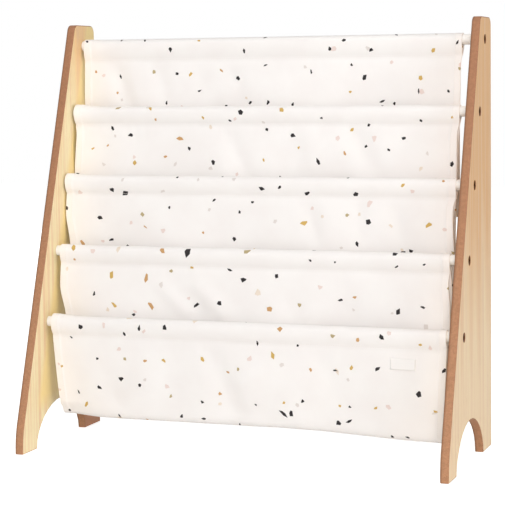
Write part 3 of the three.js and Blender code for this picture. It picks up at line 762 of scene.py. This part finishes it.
# %% The weave
THREAD = 1.1  # real threads are half a millimetre apart, drawn twice as coarse so as to show
thread = add(tree, "ShaderNodeVectorMath", {0: flat_mm, "Scale": 1 / THREAD}, operation="SCALE")
thread = add(tree, "ShaderNodeSeparateXYZ", {0: thread}).outputs
ridges = []
for number in (0, 1):
    swing = add(tree, "ShaderNodeMath", {0: thread[number], 1: math.pi}, operation="MULTIPLY")
    swing = add(tree, "ShaderNodeMath", {0: swing}, operation="SINE")
    ridges.append(add(tree, "ShaderNodeMath", {0: swing}, operation="ABSOLUTE"))
steps = [add(tree, "ShaderNodeMath", {0: thread[number]}, operation="FLOOR") for number in (0, 1)]
steps = add(tree, "ShaderNodeMath", {0: steps[0], 1: steps[1]}, operation="ADD")
warp_up = add(tree, "ShaderNodeMath", {0: steps, 1: 1}, operation="PINGPONG")
woven = add(tree, "ShaderNodeMix", {0: warp_up, 2: ridges[1], 3: ridges[0]}, data_type="FLOAT")
bump = add(tree, "ShaderNodeBump", {"Height": woven, "Strength": 0.3, "Distance": 0.12 * MM})
shader = add(tree, "ShaderNodeBsdfPrincipled",
             {"Base Color": colour, "Normal": bump, "Roughness": 0.92, "Specular IOR Level": 0.2,
              "Sheen Weight": 0.06, "Sheen Roughness": 0.5})
add(tree, "ShaderNodeOutputMaterial", {"Surface": shader})
canvas.data.materials.append(printed)
print("canvas printed and woven")

# %% [markdown]
# ## Stitches
# A seam is a row of short lengths of thread, each a little proud of the cloth in the middle and
# pulled down into it at both ends. A dashed line in the bump would do from far away. Here they are
# small spindles, one for each stitch, set along lines that are read off the sheet, so that they
# follow every fold. The thread is spun cotton: matt, with a little unevenness from its strands.

# %% Lines to sew along
PROUD = 0.1  # between the cloth and what is sewn on it
along = np.gradient(grid, axis=1)
over = np.gradient(grid, axis=0)
normal = np.cross(over, along)
normal /= np.linalg.norm(normal, axis=2, keepdims=True)
seam_rows = [np.flatnonzero(places == k)[-1] for k in range(4)] + [np.flatnonzero(places == 4)[0]]
seam_lines, hem_lines = [], []
for row in seam_rows:
    out = normal[2:-2, row] * (1 if row == seam_rows[-1] else -1)
    seam_lines.append((grid[2:-2, row] + out * (CLOTH_THICK / 2 + PROUD), out))
for column in (4, -5):
    for way in (-1, 1):
        out = normal[column] * way
        hem_lines.append((grid[column] + out * (HEM_THICK / 2 + PROUD / 2), out))
print("lines to sew:", len(seam_lines), "seams and", len(hem_lines), "hems")


# %% Places of the stitches
STITCH_PITCH = 3.3


def spaced(points, outward):
    """Even places on a line of points, each with the line's and the cloth's direction there."""
    lengths = np.concatenate([[0], np.cumsum(np.linalg.norm(np.diff(points, axis=0), axis=1))])
    wanted = np.arange(STITCH_PITCH, lengths[-1] - STITCH_PITCH, STITCH_PITCH)
    at, later, out = (np.stack([np.interp(w, lengths, source[:, i]) for i in range(3)], axis=1)
                      for w, source in ((wanted, points), (wanted + 1, points), (wanted, outward)))
    on, out = (way / np.linalg.norm(way, axis=1, keepdims=True) for way in (later - at, out))
    return at, on, out


print("a seam takes", len(spaced(*seam_lines[0])[0]), "stitches")

# %% Sew the seams and hems
STITCH_LENGTH, THREAD_RADIUS = 2.5, 0.24
SPINDLE = [(-0.5, 0.45, -0.55), (-0.22, 1, 0.15), (0.22, 1, 0.15), (0.5, 0.45, -0.55)]  # along, girth, lift
ROUND = 5


def sew(name, lines):
    """Stitches along lines of (points, outward directions), as one piece."""
    points, polygons = [], []
    for line, outward in lines:
        for at, on, out in zip(*spaced(line, outward)):
            first = len(points)
            for where, girth, lift in SPINDLE:
                ring = at + on * where * STITCH_LENGTH + out * lift * THREAD_RADIUS
                for k in range(ROUND):
                    a = 2 * math.pi * k / ROUND
                    spoke = np.cross(on, out) * math.cos(a) + out * math.sin(a)
                    points.append(ring + girth * THREAD_RADIUS * spoke)
            for ring in range(len(SPINDLE) - 1):
                for k in range(ROUND):
                    a, b = first + ring * ROUND + k, first + ring * ROUND + (k + 1) % ROUND
                    polygons.append((a, b, b + ROUND, a + ROUND))
            polygons.append(tuple(first + k for k in reversed(range(ROUND))))
            polygons.append(tuple(first + (len(SPINDLE) - 1) * ROUND + k for k in range(ROUND)))
    points = np.array(points)
    piece = cloth_mesh(name, points, points[:, :2], polygons)
    print(name, "-", len(points) // (ROUND * len(SPINDLE)), "stitches")
    return piece


seam_stitches = sew("seam_stitches", seam_lines)
hem_stitches = sew("hem_stitches", hem_lines)

# %% Cotton thread
STRAND = 0.4 * MM
cotton, tree = new_material("cotton_sewing_thread")
place = add(tree, "ShaderNodeTexCoord").outputs["Object"]
strands = add(tree, "ShaderNodeTexNoise", {"Vector": place, "Scale": 1 / STRAND, "Detail": 2})
colour = add(tree, "ShaderNodeValToRGB", {"Fac": strands},
             [(0.3, linear("#EBE4DD")), (0.7, linear("#F6F1EC"))])
shader = add(tree, "ShaderNodeBsdfPrincipled", {"Base Color": colour, "Roughness": 0.7})
add(tree, "ShaderNodeOutputMaterial", {"Surface": shader})
for piece in (seam_stitches, hem_stitches):
    piece.data.materials.append(cotton)
print(cotton.name, "on the seams and hems")

# %% [markdown]
# ## The sewn tag
# A small blank tag is sewn by its two ends to the front of the lowest pocket. It lies on the cloth,
# follows its folds, and stands off it a little along the lower edge, so each of its points is found
# on the canvas and lifted. Such tags are cut from polyester ribbon, woven in fine ribs, which give
# it a smoother, cleaner white than the canvas.

# %% Tag
TAG_WIDTH, TAG_HEIGHT, TAG_THICK = 36, 15, 0.5
TAG_FROM_RIGHT, TAG_BELOW_SEAM = 42, 13
TAG_ACROSS, TAG_UP = 19, 9
TAG_LIFT = CLOTH_THICK / 2 + TAG_THICK / 2 + PROUD
TAG_LOOSE, TAG_SEAM_IN = 0.9, 1.5


def on_cloth(at_x, at_y, lift):
    """The place in space of a flat place on the canvas, lifted off its outside."""
    c, r = np.searchsorted(flat_x, at_x) - 1, np.searchsorted(flat_y, at_y) - 1
    s, t = (at_x - flat_x[c]) / (flat_x[c + 1] - flat_x[c]), (at_y - flat_y[r]) / (flat_y[r + 1] - flat_y[r])
    spots = grid[c:c + 2, r:r + 2] + normal[c:c + 2, r:r + 2] * lift
    return (1 - s) * ((1 - t) * spots[0, 0] + t * spots[0, 1]) + s * ((1 - t) * spots[1, 0] + t * spots[1, 1])


tag_left = WIDTH - TAG_FROM_RIGHT - TAG_WIDTH
tag_low = flat_y[seam_rows[-1]] - TAG_BELOW_SEAM - TAG_HEIGHT
spots, flats = [], []
for i in range(TAG_ACROSS):
    for j in range(TAG_UP):
        across, upward = TAG_WIDTH * i / (TAG_ACROSS - 1), TAG_HEIGHT * j / (TAG_UP - 1)
        loose = TAG_LOOSE * math.sin(math.pi * i / (TAG_ACROSS - 1)) ** 0.5 * (1 - j / (TAG_UP - 1)) ** 2
        spots.append(on_cloth(tag_left + across, tag_low + upward, TAG_LIFT + loose))
        flats.append((across, upward))
tag = cloth_mesh("woven_tag", np.array(spots), np.array(flats), quads(TAG_ACROSS, TAG_UP))
thick = tag.modifiers.new("thickness", "SOLIDIFY")
thick.thickness, thick.offset = TAG_THICK * MM, 0
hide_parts("sewn_tag")
print("tag:", TAG_WIDTH, "by", TAG_HEIGHT, "mm")

# %% Tag stitches and tape
tag_lines = []
for at_x in (tag_left + TAG_SEAM_IN, tag_left + TAG_WIDTH - TAG_SEAM_IN):
    heights = np.linspace(tag_low - 1, tag_low + TAG_HEIGHT + 1, 12)
    line = np.array([on_cloth(at_x, y, TAG_LIFT + TAG_THICK / 2) for y in heights])
    out = line - np.array([on_cloth(at_x, y, 0) for y in heights])
    tag_lines.append((line, out))
tag_stitches = sew("tag_stitches", tag_lines)
tag_stitches.data.materials.append(cotton)
RIB = 0.6 * MM  # between two ribs of the tape, drawn coarser so as to show
WAVE_SCALE = 20 / (2 * math.pi)  # the wave texture repeats this many times in one unit
tape, tree = new_material("woven_tag_tape")
flat_metres = add(tree, "ShaderNodeUVMap", uv_map="flat_cut")
ribs = add(tree, "ShaderNodeTexWave", {"Vector": flat_metres, "Scale": 1 / (WAVE_SCALE * RIB)},
           bands_direction="Y")
colour = add(tree, "ShaderNodeValToRGB", {"Fac": ribs}, [(0, linear("#F3EEEA")), (1, linear("#FBF8F5"))])
bump = add(tree, "ShaderNodeBump", {"Height": ribs, "Strength": 0.3, "Distance": 0.05 * MM})
shader = add(tree, "ShaderNodeBsdfPrincipled", {"Base Color": colour, "Roughness": 0.7, "Normal": bump})
add(tree, "ShaderNodeOutputMaterial", {"Surface": shader})
tag.data.materials.append(tape)

# %% [markdown]
# ## What is soft
# The canvas and the tag are cloth that could be cut out flat.

print("declared:", canvas.name, "and", tag.name)

# %% [markdown]
# ## Floor and light
# The photograph is a plain studio picture: everything round the shelf is white. Two soft lamps in
# front, the key to the right and the fill higher up, keep the canvas bright and even. The left
# board's inner face looks towards them. The right board's outer face looks past them, and a lamp
# at the side lights it less. A top lamp brightens the sleeves, and one behind lights the backs of
# the walls. A paper floor alone would come out grey, so it glows a little, and the world behind it
# is white, but both only where the camera looks. The light on the shelf doesn't change, and the
# floor keeps its soft shadow.

# %% Floor
FLOOR_HALF = 6
square = [(x * FLOOR_HALF, y * FLOOR_HALF, 0) for x, y in ((-1, -1), (1, -1), (1, 1), (-1, 1))]
floor_mesh = bpy.data.meshes.new("floor")
floor_mesh.from_pydata(square, [], [(0, 1, 2, 3)])
floor = bpy.data.objects.new("floor", floor_mesh)
scene.collection.objects.link(floor)
print("floor:", 2 * FLOOR_HALF, "m square")

# %% White paper
WHITE = (1, 1, 1, 1)
FLOOR_GLOW = 0.76


def seen_directly(tree):
    """1 where the camera looks, straight or through a reflection, and 0 for light that bounces."""
    path = add(tree, "ShaderNodeLightPath").outputs
    mirrored = add(tree, "ShaderNodeMath", {0: path["Is Glossy Ray"], 1: path["Is Transmission Ray"]},
                   operation="MAXIMUM")
    return add(tree, "ShaderNodeMath", {0: path["Is Camera Ray"], 1: mirrored}, operation="MAXIMUM")


paper, tree = new_material("white_paper")
glow = add(tree, "ShaderNodeMath", {0: seen_directly(tree), 1: FLOOR_GLOW}, operation="MULTIPLY")
shader = add(tree, "ShaderNodeBsdfPrincipled",
             {"Base Color": linear("#F4F3F1"), "Roughness": 0.9, "Specular IOR Level": 0.1,
              "Emission Color": WHITE, "Emission Strength": glow})
add(tree, "ShaderNodeOutputMaterial", {"Surface": shader})
floor.data.materials.append(paper)
print(paper.name, "on the floor")

# %% Lamps and world
AIM = Vector((0, 0, 0.3))
LAMPS = [  # name, place in metres, width, height, watts
    ("key", (1.5, -3.7, 0.9), 1.0, 1.0, 47),
    ("fill", (0.4, -3.5, 1.5), 1.4, 1.2, 26),
    ("side", (3.6, -1.3, 1.1), 1.5, 1.5, 24.5),
    ("top", (0, -0.8, 2.6), 2.0, 1.6, 17.5),
    ("background", (-1.6, 3.2, 1.3), 3.0, 2.4, 28),
]
WORLD_LIGHT = 0.24
for name, at, wide, high, watts in LAMPS:
    data = bpy.data.lights.new(name, "AREA")
    data.shape, data.size, data.size_y, data.energy = "RECTANGLE", wide, high, watts
    lamp = bpy.data.objects.new(name, data)
    lamp.location = at
    lamp.rotation_mode = "QUATERNION"
    lamp.rotation_quaternion = (AIM - Vector(at)).to_track_quat("-Z", "Y")
    lamp.visible_camera = False
    scene.collection.objects.link(lamp)
world = bpy.data.worlds.new("studio")
world.use_nodes = True
world.node_tree.nodes.clear()
scene.world = world
tree = world.node_tree
strength = add(tree, "ShaderNodeMapRange", {"Value": seen_directly(tree), "To Min": WORLD_LIGHT, "To Max": 1})
sky = add(tree, "ShaderNodeBackground", {"Color": WHITE, "Strength": strength})
add(tree, "ShaderNodeOutputWorld", {"Surface": sky})
print("lamps:", len(LAMPS), "and a world of", WORLD_LIGHT)
